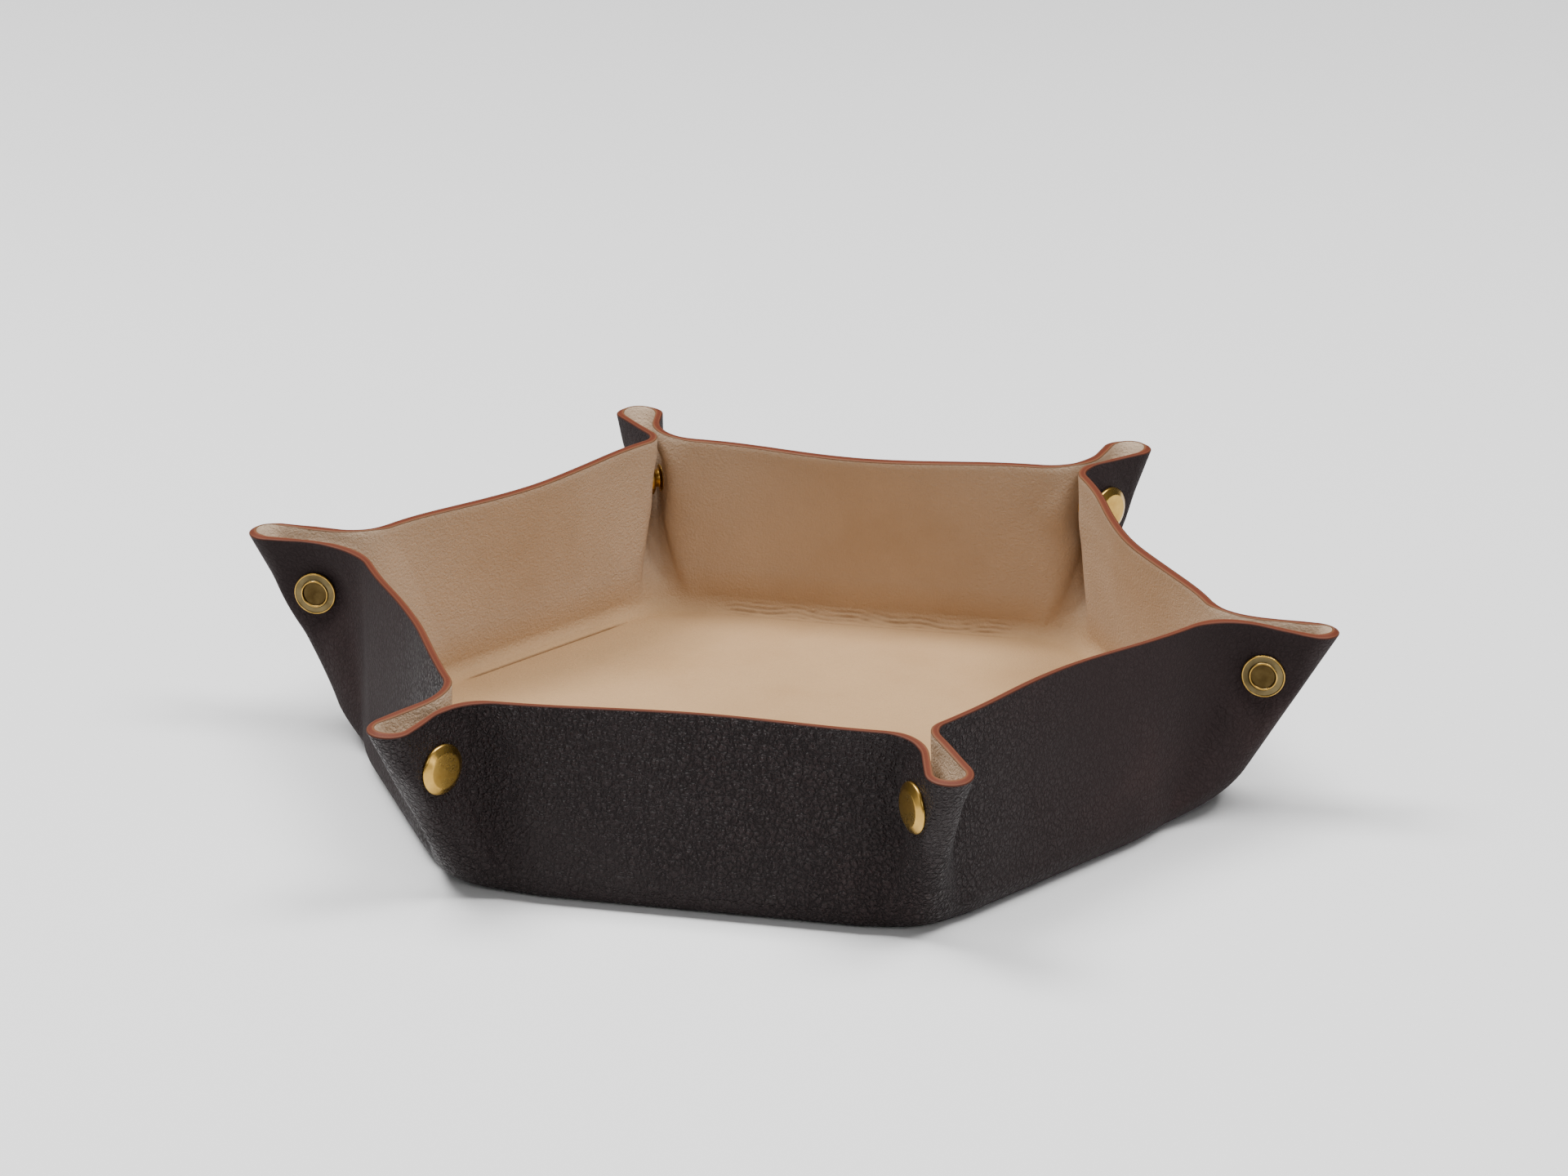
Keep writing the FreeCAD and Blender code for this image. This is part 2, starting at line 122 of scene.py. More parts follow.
# The two leathers: which face of the sheet each one shows, its material slot and its finish.
Layer = namedtuple("Layer", "name face slot finish")
LAYERS = (
    Layer("outer", "outer", "outer_leather", "outer_leather_pebbled"),
    Layer("lining", "inner", "lining", "lining_tan_leather"),
)


class ValetTraySizes(PropertyGroup):
    """Sizes of the leather sheet and the snaps."""

    rim_height: FloatProperty(
        name="Rim height", description="Height of the walls' cut edge", default=0.0486, unit="LENGTH")
    rim_inradius: FloatProperty(
        name="Rim half width", description="Distance from the middle to a wall at the rim",
        default=0.0936, unit="LENGTH")
    wall_lean: FloatProperty(
        name="Wall lean", description="How far the walls lean inward", default=math.radians(4.6),
        subtype="ANGLE")
    crease_radius: FloatProperty(
        name="Crease radius", description="Bend radius where the floor turns up into a wall",
        default=0.005, unit="LENGTH")
    outer_thickness: FloatProperty(
        name="Outer leather", description="Thickness of the dark outer leather",
        default=0.0011, unit="LENGTH")
    lining_thickness: FloatProperty(
        name="Lining", description="Thickness of the tan lining", default=0.0009, unit="LENGTH")
    snap_reach: FloatProperty(
        name="Snap reach", description="Distance from the middle to a snap's axis",
        default=0.1172, unit="LENGTH")
    snap_height: FloatProperty(
        name="Snap height", description="Height of a snap's axis", default=0.0346, unit="LENGTH")


class ValetTrayFinish(PropertyGroup):
    """Colours of the leather and the metal."""

    outer_colour: FloatVectorProperty(
        name="Outer leather", description="Colour of the dark pebbled leather", subtype="COLOR",
        size=4, min=0.0, max=1.0, default=(0.021, 0.0125, 0.0125, 1.0))
    lining_colour: FloatVectorProperty(
        name="Lining", description="Colour of the smooth tan lining", subtype="COLOR",
        size=4, min=0.0, max=1.0, default=(0.5, 0.375, 0.265, 1.0))
    edge_colour: FloatVectorProperty(
        name="Cut edge", description="Colour of the raw core at the cut edge", subtype="COLOR",
        size=4, min=0.0, max=1.0, default=(0.135, 0.036, 0.018, 1.0))
    brass_colour: FloatVectorProperty(
        name="Brass", description="Colour of the polished caps, sockets, studs and ring edges",
        subtype="COLOR", size=4, min=0.0, max=1.0, default=(0.54, 0.335, 0.083, 1.0))
    aged_colour: FloatVectorProperty(
        name="Aged brass", description="Colour of the studs' rings", subtype="COLOR",
        size=4, min=0.0, max=1.0, default=(0.14, 0.108, 0.052, 1.0))
    antique_colour: FloatVectorProperty(
        name="Antique brass", description="Colour of the rings' dark centres", subtype="COLOR",
        size=4, min=0.0, max=1.0, default=(0.09, 0.06, 0.022, 1.0))


def tray_sizes():
    return bpy.context.scene.valet_tray_sizes


def tray_finish():
    return bpy.context.scene.valet_tray_finish


def feed(tree, value, socket):
    """Link a socket to another one, or set it to a number, a vector or a colour."""
    if isinstance(value, bpy.types.NodeSocket):
        tree.links.new(value, socket)
    else:
        socket.default_value = value


def node(tree, kind, *terms, **values):
    """A node of that kind, fed by sockets or constants.

    Keywords are the node's own settings and, with _ for a space, its inputs by name. Terms are its
    inputs in order.
    """
    made = tree.nodes.new(kind)
    for key, value in values.items():
        label = key.replace("_", " ")
        if label in made.inputs:
            feed(tree, value, made.inputs[label])
        else:
            setattr(made, key, value)
    for socket, value in zip(made.inputs, terms):
        feed(tree, value, socket)
    return made


def worked(tree, operation, *terms, clamp=False):
    """The result of one step of arithmetic on sockets or numbers."""
    return node(tree, "ShaderNodeMath", *terms, operation=operation, use_clamp=clamp).outputs["Value"]


def mapped(tree, value, span, to=(0.0, 1.0), kind="LINEAR"):
    """The value carried from the span's two ends to the other two, and held between them."""
    made = node(tree, "ShaderNodeMapRange", interpolation_type=kind, Value=value,
                From_Min=span[0], From_Max=span[1], To_Min=to[0], To_Max=to[1])
    return made.outputs["Result"]


def multiplied(tree, factor, colour, tint):
    """The colour, multiplied by the tint as far as the factor says."""
    made = node(tree, "ShaderNodeMix", data_type="RGBA", blend_type="MULTIPLY",
                Factor=factor, A=colour, B=tint)
    return made.outputs["Result"]


def noise(tree, place, **values):
    return node(tree, "ShaderNodeTexNoise", Vector=place, **values)


def own_place(tree):
    """Object coordinates, which are the tray's own frame in metres."""
    return node(tree, "ShaderNodeTexCoord").outputs["Object"]


def new_group(name, inputs, outputs):
    """A shader node group with number inputs, each with its default, and number outputs."""
    group = bpy.data.node_groups.new(name, "ShaderNodeTree")
    for label, default in inputs:
        socket = group.interface.new_socket(name=label, in_out="INPUT", socket_type="NodeSocketFloat")
        socket.default_value = default
    for label in outputs:
        group.interface.new_socket(name=label, in_out="OUTPUT", socket_type="NodeSocketFloat")
    start = group.nodes.new("NodeGroupInput")
    end = group.nodes.new("NodeGroupOutput")
    return group, start.outputs, end.inputs


# Where the grain begins to strengthen toward the front wall and where it is full, along Y in metres, and
# the share of it on the other walls.
GRAIN_FRONT = (-0.04, -0.092)
QUIET_GRAIN = 0.25
CELL_WARP = 0.0014
CRACKLE_SHARE = 0.45


def leather_grain_group():
    """Leather surface: pebbles parted by thin creases, a finer crackle, pores and slow blotches.

    Height = Pebble * patches * facing * (0.55 pebbles + 0.45 crackle) + Pores * fine noise, where pebbles
    and crackle are the smoothed distances to the edges of large and small warped cells, patches follow
    the blotches, and facing is full on the front wall and less on the others. Valley is patches * facing
    times what pebbles and crackle leave of 1.
    """
    group, start, end = new_group(
        "leather_grain",
        [("Cell Scale", 500.0), ("Crackle Scale", 1100.0), ("Pore Scale", 3000.0), ("Pebble", 0.7),
         ("Pores", 0.3)],
        ["Height", "Valley", "Blotch", "Facing"])
    place = own_place(group)
    warp = noise(group, place, Scale=420.0, Detail=2.0).outputs["Color"]
    warped = node(group, "ShaderNodeVectorMath", warp, (CELL_WARP,) * 3, place, operation="MULTIPLY_ADD")
    domes = []
    for label, edge in (("Cell Scale", 0.27), ("Crackle Scale", 0.3)):
        cells = node(group, "ShaderNodeTexVoronoi", feature="DISTANCE_TO_EDGE",
                     Vector=warped.outputs["Vector"], Scale=start[label], Randomness=1.0)
        domes.append(mapped(group, cells.outputs["Distance"], (0.0, edge), kind="SMOOTHSTEP"))
    both = node(group, "ShaderNodeMix", Factor=CRACKLE_SHARE, A=domes[0], B=domes[1]).outputs["Result"]
    pores = noise(group, place, Scale=start["Pore Scale"], Detail=5.0, Roughness=0.62).outputs["Fac"]
    blotch = noise(group, place, Scale=26.0, Detail=4.0, Roughness=0.55).outputs["Fac"]
    patches = mapped(group, blotch, (0.36, 0.6), (0.55, 1.0))
    spot = node(group, "ShaderNodeSeparateXYZ", Vector=place)
    facing = mapped(group, spot.outputs["Y"], GRAIN_FRONT, (QUIET_GRAIN, 1.0))
    depth = worked(group, "MULTIPLY", patches, facing)
    raised = worked(group, "MULTIPLY", worked(group, "MULTIPLY", both, start["Pebble"]), depth)
    feed(group, worked(group, "MULTIPLY_ADD", pores, start["Pores"], raised), end["Height"])
    # The leathers darken their colour by Valley: painted shade in the grain's valleys.
    feed(group, worked(group, "MULTIPLY", worked(group, "SUBTRACT", 1.0, both), depth), end["Valley"])
    feed(group, blotch, end["Blotch"])
    feed(group, facing, end["Facing"])
    return group


def handled_metal_group():
    """Handled metal: slow tarnish clouds and fine polishing scratches from stretched noise."""
    group, start, end = new_group(
        "handled_metal", [("Cloud Scale", 260.0), ("Scratch Scale", 2600.0)], ["Tarnish", "Scratch"])
    place = own_place(group)
    mapping = node(group, "ShaderNodeMapping", Vector=place, Scale=(1.0, 1.0, 6.0), Rotation=(0.5, 0.2, 0.9))
    stretched = mapping.outputs["Vector"]
    cloud = noise(group, place, Scale=start["Cloud Scale"], Detail=5.0, Roughness=0.6)
    scratch = noise(group, stretched, Scale=start["Scratch Scale"], Detail=3.0, Roughness=0.7)
    feed(group, cloud.outputs["Fac"], end["Tarnish"])
    feed(group, scratch.outputs["Fac"], end["Scratch"])
    return group


def new_material(name):
    made = bpy.data.materials.new(name)
    made.use_nodes = True
    tree = made.node_tree
    return made, tree, tree.nodes["Principled BSDF"]


def placed_group(tree, group, **values):
    """The outputs of a group placed in a material with its own values."""
    made = tree.nodes.new("ShaderNodeGroup")
    made.node_tree = group
    for label, value in values.items():
        made.inputs[label.replace("_", " ")].default_value = value
    return made.outputs


def shade_ramp(tree, value, stops):
    """The colour at a value on a ramp with the given (place, colour) stops."""
    made = node(tree, "ShaderNodeValToRGB", Fac=value)
    ramp = made.color_ramp
    while len(ramp.elements) < len(stops):
        ramp.elements.new(0.5)
    for element, (place, colour) in zip(ramp.elements, stops):
        element.position = place
        element.color = colour
    return made.outputs["Color"]


def tinted(colour, factor, shift=(1.0, 1.0, 1.0)):
    return tuple(min(1.0, colour[i] * factor * shift[i]) for i in range(3)) + (1.0,)


def dress(tree, shader, colour, roughness, height, strength, distance):
    """Feed a shader its colour and roughness, and a bump of the given strength and distance."""
    bump = node(tree, "ShaderNodeBump", Height=height, Strength=strength, Distance=distance)
    feed(tree, colour, shader.inputs["Base Color"])
    feed(tree, roughness, shader.inputs["Roughness"])
    feed(tree, bump.outputs["Normal"], shader.inputs["Normal"])


def outer_leather_material(grain):
    """Dark brown, almost black leather with a satin pebble, duller in its creases and off the front; painted
    shade darkens the grain's valleys.
    """
    colour = tray_finish().outer_colour
    made, tree, shader = new_material("outer_leather_pebbled")
    surface = placed_group(
        tree, grain, Cell_Scale=620.0, Crackle_Scale=1150.0, Pore_Scale=2600.0, Pebble=1.0, Pores=0.25)
    blotches = shade_ramp(tree, surface["Blotch"], [
        (0.3, tinted(colour, 0.78)), (0.55, tinted(colour, 1.05)),
        (0.78, tinted(colour, 1.5, (1.05, 0.98, 0.95)))])
    # Painted shade: the grain's valleys darkened to about a third, most on the front wall.
    crease_shaded = multiplied(tree, surface["Valley"], blotches, (0.3, 0.28, 0.28, 1.0))
    satin = mapped(tree, surface["Facing"], (QUIET_GRAIN, 1.0), (0.72, 0.3))
    rough = worked(tree, "MULTIPLY_ADD", surface["Valley"], 0.5, satin, clamp=True)
    dress(tree, shader, crease_shaded, rough, surface["Height"], 1.0, 0.0008)
    shader.inputs["Specular IOR Level"].default_value = 0.2
    return made


# Heights in metres between which the lining takes the floor's darker, yellower tint.
FLOOR_TINT_HEIGHTS = (0.014, 0.002)


def lining_material(grain):
    """Smooth tan lining leather with fine pores and cloudy colour, tinted darker and yellower on the floor.

    The pressed attribute, the depth of the crease grooves, darkens the crease lines and wrinkles with painted
    shade.
    """
    colour = tray_finish().lining_colour
    made, tree, shader = new_material("lining_tan_leather")
    surface = placed_group(
        tree, grain, Cell_Scale=520.0, Crackle_Scale=1300.0, Pore_Scale=1500.0, Pebble=0.5, Pores=0.6)
    clouds = shade_ramp(tree, surface["Blotch"], [
        (0.28, tinted(colour, 0.9, (1.0, 0.97, 0.93))), (0.5, tinted(colour, 1.0)),
        (0.75, tinted(colour, 1.08))])
    spot = node(tree, "ShaderNodeSeparateXYZ", Vector=own_place(tree))
    low = mapped(tree, spot.outputs["Z"], FLOOR_TINT_HEIGHTS)
    floor_tinted = multiplied(tree, low, clouds, (0.98, 0.83, 0.61, 1.0))
    # Painted shade: the grain's valleys darkened slightly.
    valley_shaded = multiplied(tree, surface["Valley"], floor_tinted, (0.93, 0.9, 0.87, 1.0))
    # Painted shade: the crease lines and wrinkles darkened by their groove depth.
    pressed = node(tree, "ShaderNodeAttribute", attribute_name="pressed").outputs["Fac"]
    crease_shaded = multiplied(tree, mapped(tree, pressed, (0.0, 0.45)), valley_shaded, (0.52, 0.44, 0.37, 1.0))
    rough = mapped(tree, surface["Blotch"], (0.0, 1.0), (0.46, 0.62))
    dress(tree, shader, crease_shaded, rough, surface["Height"], 0.8, 0.0007)
    shader.inputs["Specular IOR Level"].default_value = 0.18
    return made


def cut_edge_material(grain):
    """Cut edge: a reddish core between two thin pale lines, read from the across attribute."""
    colour = tray_finish().edge_colour
    made, tree, shader = new_material("leather_cut_edge")
    across = node(tree, "ShaderNodeAttribute", attribute_name="across").outputs["Fac"]
    layers = shade_ramp(tree, across, [
        (0.0, tinted(colour, 0.3)), (0.1, tinted(colour, 0.7)), (0.2, tinted(colour, 1.3, (1.0, 1.3, 1.3))),
        (0.34, tinted(colour, 0.95)), (0.66, tinted(colour, 1.1)),
        (0.84, tinted(colour, 1.5, (1.0, 1.5, 1.4))), (1.0, tinted(colour, 1.2, (1.0, 2.0, 2.0)))])
    surface = placed_group(
        tree, grain, Cell_Scale=1500.0, Crackle_Scale=3000.0, Pore_Scale=1900.0, Pebble=0.2, Pores=0.8)
    frayed = multiplied(tree, surface["Blotch"], layers, (0.72, 0.62, 0.58, 1.0))
    rough = mapped(tree, surface["Valley"], (0.0, 1.0), (0.5, 0.75))
    dress(tree, shader, frayed, rough, surface["Height"], 0.35, 0.00025)
    shader.inputs["Specular IOR Level"].default_value = 0.2
    return made


def metal_material(name, colour, wear, smooth, rough, dull):
    """Turned metal whose colour and roughness follow the tarnish, with fine polishing scratches."""
    made, tree, shader = new_material(name)
    surface = placed_group(tree, wear)
    tones = shade_ramp(tree, surface["Tarnish"], [
        (0.3, tinted(colour, dull, (1.0, 0.93, 0.8))), (0.62, tinted(colour, 1.0))])
    worn = mapped(tree, surface["Tarnish"], (0.3, 0.7), (rough, smooth))
    dress(tree, shader, tones, worn, surface["Scratch"], 0.025, 0.0001)
    shader.inputs["Metallic"].default_value = 1.0
    return made


def studio_floor_material():
    """Pale matt studio sheet with a barely visible cloud."""
    made, tree, shader = new_material("studio_floor")
    cloud = noise(tree, own_place(tree), Scale=1.5, Detail=2.0).outputs["Fac"]
    tones = shade_ramp(tree, cloud, [(0.3, (0.88, 0.88, 0.88, 1.0)), (0.7, (0.92, 0.92, 0.92, 1.0))])
    feed(tree, tones, shader.inputs["Base Color"])
    shader.inputs["Roughness"].default_value = 0.9
    shader.inputs["Specular IOR Level"].default_value = 0.1
    return made


def eased(share):
    """Smooth step: 3 s^2 - 2 s^3 of the share held to 0..1."""
    s = np.clip(share, 0.0, 1.0)
    return s * s * (3.0 - 2.0 * s)


def unit(vectors):
    return vectors / np.maximum(np.linalg.norm(vectors, axis=-1, keepdims=True), 1e-12)


def turned(points, degrees, mirror=False):
    """Points of a corner or wall frame, turned to their place about the tray's axis."""
    a = math.radians(degrees)
    c, s = math.cos(a), math.sin(a)
    flip = -1.0 if mirror else 1.0
    spin = np.array([[c, -s * flip, 0.0], [s, c * flip, 0.0], [0.0, 0.0, 1.0]])
    return points @ spin.T


def corner_at(angle):
    return CORNERS[angle % 360]


def flanks():
    """Each ear flank: its wall, its side, its corner's plan angle and whether the corner is mirrored."""
    for wall, angle in WALLS.items():
        yield wall, "left", angle - 30, False
        yield wall, "right", angle + 30, True


def sheet_sizes():
    """The sheet's sizes in millimetres, with the bend's centre line worked out from the rim.

    Outer, bond and inner are the offsets of the sheet's faces and of the glue line from its middle.
    """
    s = tray_sizes()
    half = 0.5 / MM * (s.outer_thickness + s.lining_thickness)
    rim_z = s.rim_height / MM
    bend = s.crease_radius / MM
    turn = math.pi / 2 + s.wall_lean
    bend_top = bend + half - bend * math.cos(turn)
    centre = s.rim_inradius / MM + math.tan(s.wall_lean) * (rim_z - bend_top) - bend * math.sin(turn)
    return {
        "outer": half, "bond": half - s.outer_thickness / MM, "inner": -half, "half": half,
        "rim_z": rim_z, "rim_d": s.rim_inradius / MM, "bend": bend, "centre": centre,
        "snap_x": s.snap_reach / MM, "snap_z": s.snap_height / MM,
    }


# Shares of a half corner, 0 at the wall and 1 at the fold: where the rim begins to rise or fall to the
# tip, where the fold's bend begins to grow, where the flank is free of the wall, and where the pinch
# begins to fade and over how much.
LIFT_FROM = 0.1
BEND_FROM = 0.35
FLANK_FREE = 0.45
PINCH_FADE = (0.5, 0.3)
# Powers by which a flank closes on the mid plane above the floor and opens again below the rim.
FLANK_CLOSING = 1.6
RIM_OPENING = 3.0


def top_edge(z, corner, high, share):
    """Plan and height of one half corner's top edge, share 0 at the wall to 1 at the fold.

    An arc of the root radius turns from the wall's line to the flank, a straight flank is tangent to it
    and to the loop, and an arc of the loop radius ends on the corner's mid plane. Share runs along the
    length, so the pieces join without a step. Stops are the shares where the three parts begin and end.
    """
    loop, root, wall_lift = corner.loop, corner.roots[high], corner.rim_lifts[high]
    root_y = corner.throat + root
    root_x = (z["rim_d"] + root - SIN_HALF * root_y) / math.cos(HALF_CORNER)
    loop_x = corner.reach - loop
    run = loop_x - root_x
    slant = math.asin((root + loop) / math.hypot(run, root_y)) - math.atan2(root_y, run)
    leave, join, meet = math.radians(210.0), math.radians(270.0) + slant, math.pi / 2 + slant
    p = np.array([root_x + root * math.cos(join), root_y + root * math.sin(join)])
    q = np.array([loop_x + loop * math.cos(meet), loop * math.sin(meet)])
    lengths = np.array([root * (join - leave), float(np.hypot(*(q - p))), loop * meet])
    stops = np.concatenate([[0.0], np.cumsum(lengths)]) / lengths.sum()
    w = [np.clip((share - stops[i]) / (stops[i + 1] - stops[i]), 0.0, 1.0) for i in range(3)]
    a = leave + (join - leave) * w[0]
    b = meet * (1.0 - w[2])
    on_root, on_flank = share <= stops[1], share <= stops[2]
    x = np.where(on_root, root_x + root * np.cos(a),
                 np.where(on_flank, p[0] + (q[0] - p[0]) * w[1], loop_x + loop * np.cos(b)))
    y = np.where(on_root, root_y + root * np.sin(a),
                 np.where(on_flank, p[1] + (q[1] - p[1]) * w[1], loop * np.sin(b)))
    lift = wall_lift + (corner.lift - wall_lift) * eased((share - LIFT_FROM) / (1.0 - LIFT_FROM))
    return x, y, z["rim_z"] + lift, stops


def floor_arc_x(z, corner):
    """Reach of the centre of the arc that rounds the floor's outline at a corner."""
    return (z["centre"] - corner.floor_radius) / math.cos(HALF_CORNER)


def half_corner(z, corner, high, share, climb):
    """Middle of the sheet over one half corner, in millimetres, x outward along the corner.

    For each share the sheet leaves the floor on an arc about the floor's rounded corner, its radius
    easing from the crease's at the wall to the fold's, and runs straight from the arc to the top edge,
    tangent to the arc: with T the top edge seen from the arc's centre, the arc turns by
    atan2(Tz, Te) + asin(bend / |T|). Climb is 0..1 over the arc and 1..2 over the straight part, t along
    it. Between the wall and the loop the flank closes on the mid plane sooner than the straight line
    would, because the snap pinches the ear shut: its width is the arc's times (1 - t)^2.6 and the top
    edge's times 1 - (1 - t)^3, and the loop itself tapers evenly to the floor.
    """
    x, y, top, _ = top_edge(z, corner, high, share)
    theta = HALF_CORNER * (1.0 - share)
    ex, ey = np.cos(theta), np.sin(theta)
    cx, cy = floor_arc_x(z, corner) + corner.floor_radius * ex, corner.floor_radius * ey
    bend = z["bend"] + (corner.fold_bend - z["bend"]) * eased((share - BEND_FROM) / (1.0 - BEND_FROM))
    cz = bend + z["half"]
    te = (x - cx) * ex + (y - cy) * ey
    tz = top - cz
    turn = np.arctan2(tz, te) + np.arcsin(bend / np.hypot(te, tz))
    alpha = turn * np.clip(climb, 0.0, 1.0)
    t = np.clip(climb - 1.0, 0.0, 1.0)
    out = bend * np.sin(alpha)
    px, py, pz = cx + out * ex, cy + out * ey, cz - bend * np.cos(alpha)
    flank = eased(share / FLANK_FREE)
    pinched = flank * (1.0 - eased((share - PINCH_FADE[0]) / PINCH_FADE[1]))
    leave = (1.0 - t) ** (1.0 + FLANK_CLOSING * flank)
    reach = t + (1.0 - (1.0 - t) ** RIM_OPENING - t) * pinched
    return np.stack([px + (x - px) * t, py * leave + y * reach, pz + (top - pz) * t], axis=-1)


def surface_normals(points):
    """Unit normals and upward directions of a grid, from the cross product of its two directions."""
    along = np.gradient(points, axis=0, edge_order=2)
    up = np.gradient(points, axis=1, edge_order=2)
    return unit(np.cross(along, up)), unit(up)


SHARP_ANGLE = math.radians(48.0)


def mesh_object(name, points, quads, polygons, materials, slots, marks=()):
    """A closed mesh from points in millimetres and faces, turned to face outward and shaded smooth.

    Its faces point outward where the sum of a . (b x c) over its triangles, six times its volume, is
    positive. Marks are named numbers, one for each point.
    """
    points = points * MM
    tri = np.concatenate([quads[:, [0, 1, 2]], quads[:, [0, 2, 3]]])
    a, b, c = (points[tri[:, i]] - points.mean(axis=0) for i in range(3))
    faces = quads.tolist() + [np.asarray(polygon).tolist() for polygon in polygons]
    if float(np.einsum("ij,ij->", a, np.cross(b, c))) < 0.0:
        faces = [face[::-1] for face in faces]
    mesh = bpy.data.meshes.new(name)
    mesh.from_pydata(points.tolist(), [], faces)
    for material in materials:
        mesh.materials.append(material)
    mesh.polygons.foreach_set("material_index", np.asarray(slots, dtype=np.int32))
    for label, values in marks:
        layer = mesh.attributes.new(label, "FLOAT", "POINT")
        layer.data.foreach_set("value", np.asarray(values, dtype=np.float32).ravel())
    mesh.update()
    mesh.shade_smooth()
    mesh.set_sharp_from_angle(angle=SHARP_ANGLE)
    item = bpy.data.objects.new(name, mesh)
    bpy.context.scene.collection.objects.link(item)
    return item


# The rounded cut edge, in millimetres: how far its first two points stand in from the near face, and how
# far each of its four points stands above the grid's last row.
RIM_INSETS = (0.08, 0.28)
RIM_LIFTS = (0.2, 0.28, 0.3, 0.28)


def sheet_layer(name, points, near, far, materials, place, groove=0.0):
    """One leather layer over a grid of the sheet's middle, closed all round, its top edge rounded.

    Each column of the grid carries a closed profile: up the near face, over the rounded cut edge and
    down the bonded face, at offsets along the surface normal. Groove is how deep the near face is
    pressed in at each grid point.
    """
    normals, up = surface_normals(points)
    sign = 1.0 if near > far else -1.0
    rows = points.shape[1]
    groove = np.broadcast_to(groove, points.shape[:2])
    front = points + (near - sign * groove)[..., None] * normals
    back = points + far * normals
    rim_offsets = np.array([near - sign * inset for inset in RIM_INSETS] + [0.5 * (near + far), far])
    rim = points[:, -1:] + rim_offsets[None, :, None] * normals[:, -1:]
    rim = rim + np.array(RIM_LIFTS)[None, :, None] * up[:, -1:]
    loop = np.concatenate([front, rim, back[:, ::-1]], axis=1)
    offsets = np.concatenate([np.full(rows, near), rim_offsets, np.full(rows, far)])
    columns, ring = loop.shape[:2]
    index = np.arange(columns * ring).reshape(columns, ring)
    after = np.roll(index, -1, axis=1)
    quads = np.stack([index[:-1], after[:-1], after[1:], index[1:]], axis=-1)
    slots = np.zeros((columns - 1, ring), dtype=int)
    rim_end = rows + len(RIM_LIFTS)
    slots[:, rows - 1:rim_end] = 1
    caps, tips = [], []
    mirror_row = ring - 1 - np.arange(rows)
    for column, step in ((0, 1), (columns - 1, -1)):
        line = index[column]
        strip = [line[:rows - 1], line[mirror_row[:-1]], line[mirror_row[1:]], line[1:rows]]
        caps.append(np.stack(strip, axis=-1)[:, ::step])
        tips.append(line[rows - 1:rim_end + 1][::-step])
    all_quads = np.concatenate([quads.reshape(-1, 4)] + caps)
    all_slots = np.concatenate([slots.ravel(), np.zeros(sum(len(cap) for cap in caps), int), [1, 1]])
    # The groove's depth is kept as the pressed attribute, which the lining turns into painted shade in its
    # creases.
    pressed = np.concatenate([groove, np.zeros((columns, ring - rows))], axis=1)
    marks = (("across", np.tile(0.5 * (1.0 - offsets), columns)), ("pressed", pressed))
    return mesh_object(name, place(loop.reshape(-1, 3)), all_quads, tips, materials, all_slots, marks)


# The sheet's waver, in millimetres: its height, its wavelengths, their summed weight, and the height
# above the table at which it begins and over which it grows to the full.
WAVER = 0.35
WAVELENGTHS = (85.0, 52.0, 33.0, 21.0)
WAVE_WEIGHT = 2.2
WAVER_RISE = (3.0, 15.0)
WAVER_SEED = 7


def wavering(points):
    """A slow, hand-made waver of the sheet: a sum of four sine waves over plan and height."""
    draw = np.random.default_rng(WAVER_SEED)
    total = np.zeros(points.shape[:-1])
    for wavelength in WAVELENGTHS:
        way = draw.normal(size=3)
        way = way / np.linalg.norm(way) * (2.0 * math.pi / wavelength)
        total = total + np.sin(points @ way + draw.uniform(0.0, 6.28)) * (wavelength / WAVELENGTHS[0])
    return WAVER * total / WAVE_WEIGHT * eased((points[..., 2] - WAVER_RISE[0]) / WAVER_RISE[1])


def wavered(points, place):
    """The grid moved along its normals by the sheet's waver at its place in the tray."""
    normals, _ = surface_normals(points)
    return points + normals * wavering(place(points))[..., None]


# Rows of the grids over the crease, over the rest of the bend and up the straight part.
CREASE_ROWS = 33
BEND_ROWS = 25
RISE_ROWS = 27


def floor_climb(foot):
    """Climbs of the part of the bend that stays with the floor's edge."""
    return np.linspace(0.0, foot, CREASE_ROWS)


def ear_climb(foot):
    """Climbs from the end of the floor's part of the bend to the rim."""
    return np.concatenate([np.linspace(foot, 1.0, BEND_ROWS), 1.0 + np.linspace(0.0, 1.0, RISE_ROWS)[1:]])


WALL_CLIMB = np.concatenate([floor_climb(0.5), ear_climb(0.5)[1:]])
WALL_COLUMNS = 41
LOOP_COLUMNS = 17
FLANK_COLUMNS = 15
ROOT_COLUMNS = 27

# The loop's half width at the floor, in millimetres, and the climb at which it begins to widen upward and
# over which it does. The share of the fold's bend that widens the floor's arc there.
LOOP_FOOT = 4.5
LOOP_WIDENING = (0.5, 1.2)
FOLD_SWELL = 0.7
# The flat pad round a snap: the radii where it begins and ends to fade, and the half width of the ear
# under which it fades too, in millimetres.
SNAP_PAD = (6.2, 12.0)
PAD_WIDTH = 2.0


def snap_place(z, angle, high):
    """A corner's snap on one flank: its place in the corner's frame and its axis's turn toward the tip."""
    corner = corner_at(angle)
    shift_x, shift_z = corner.snap_shift
    place = np.array([z["snap_x"] + shift_x, corner.seats[high], z["snap_z"] + shift_z])
    return place, math.radians(corner.turns[high])


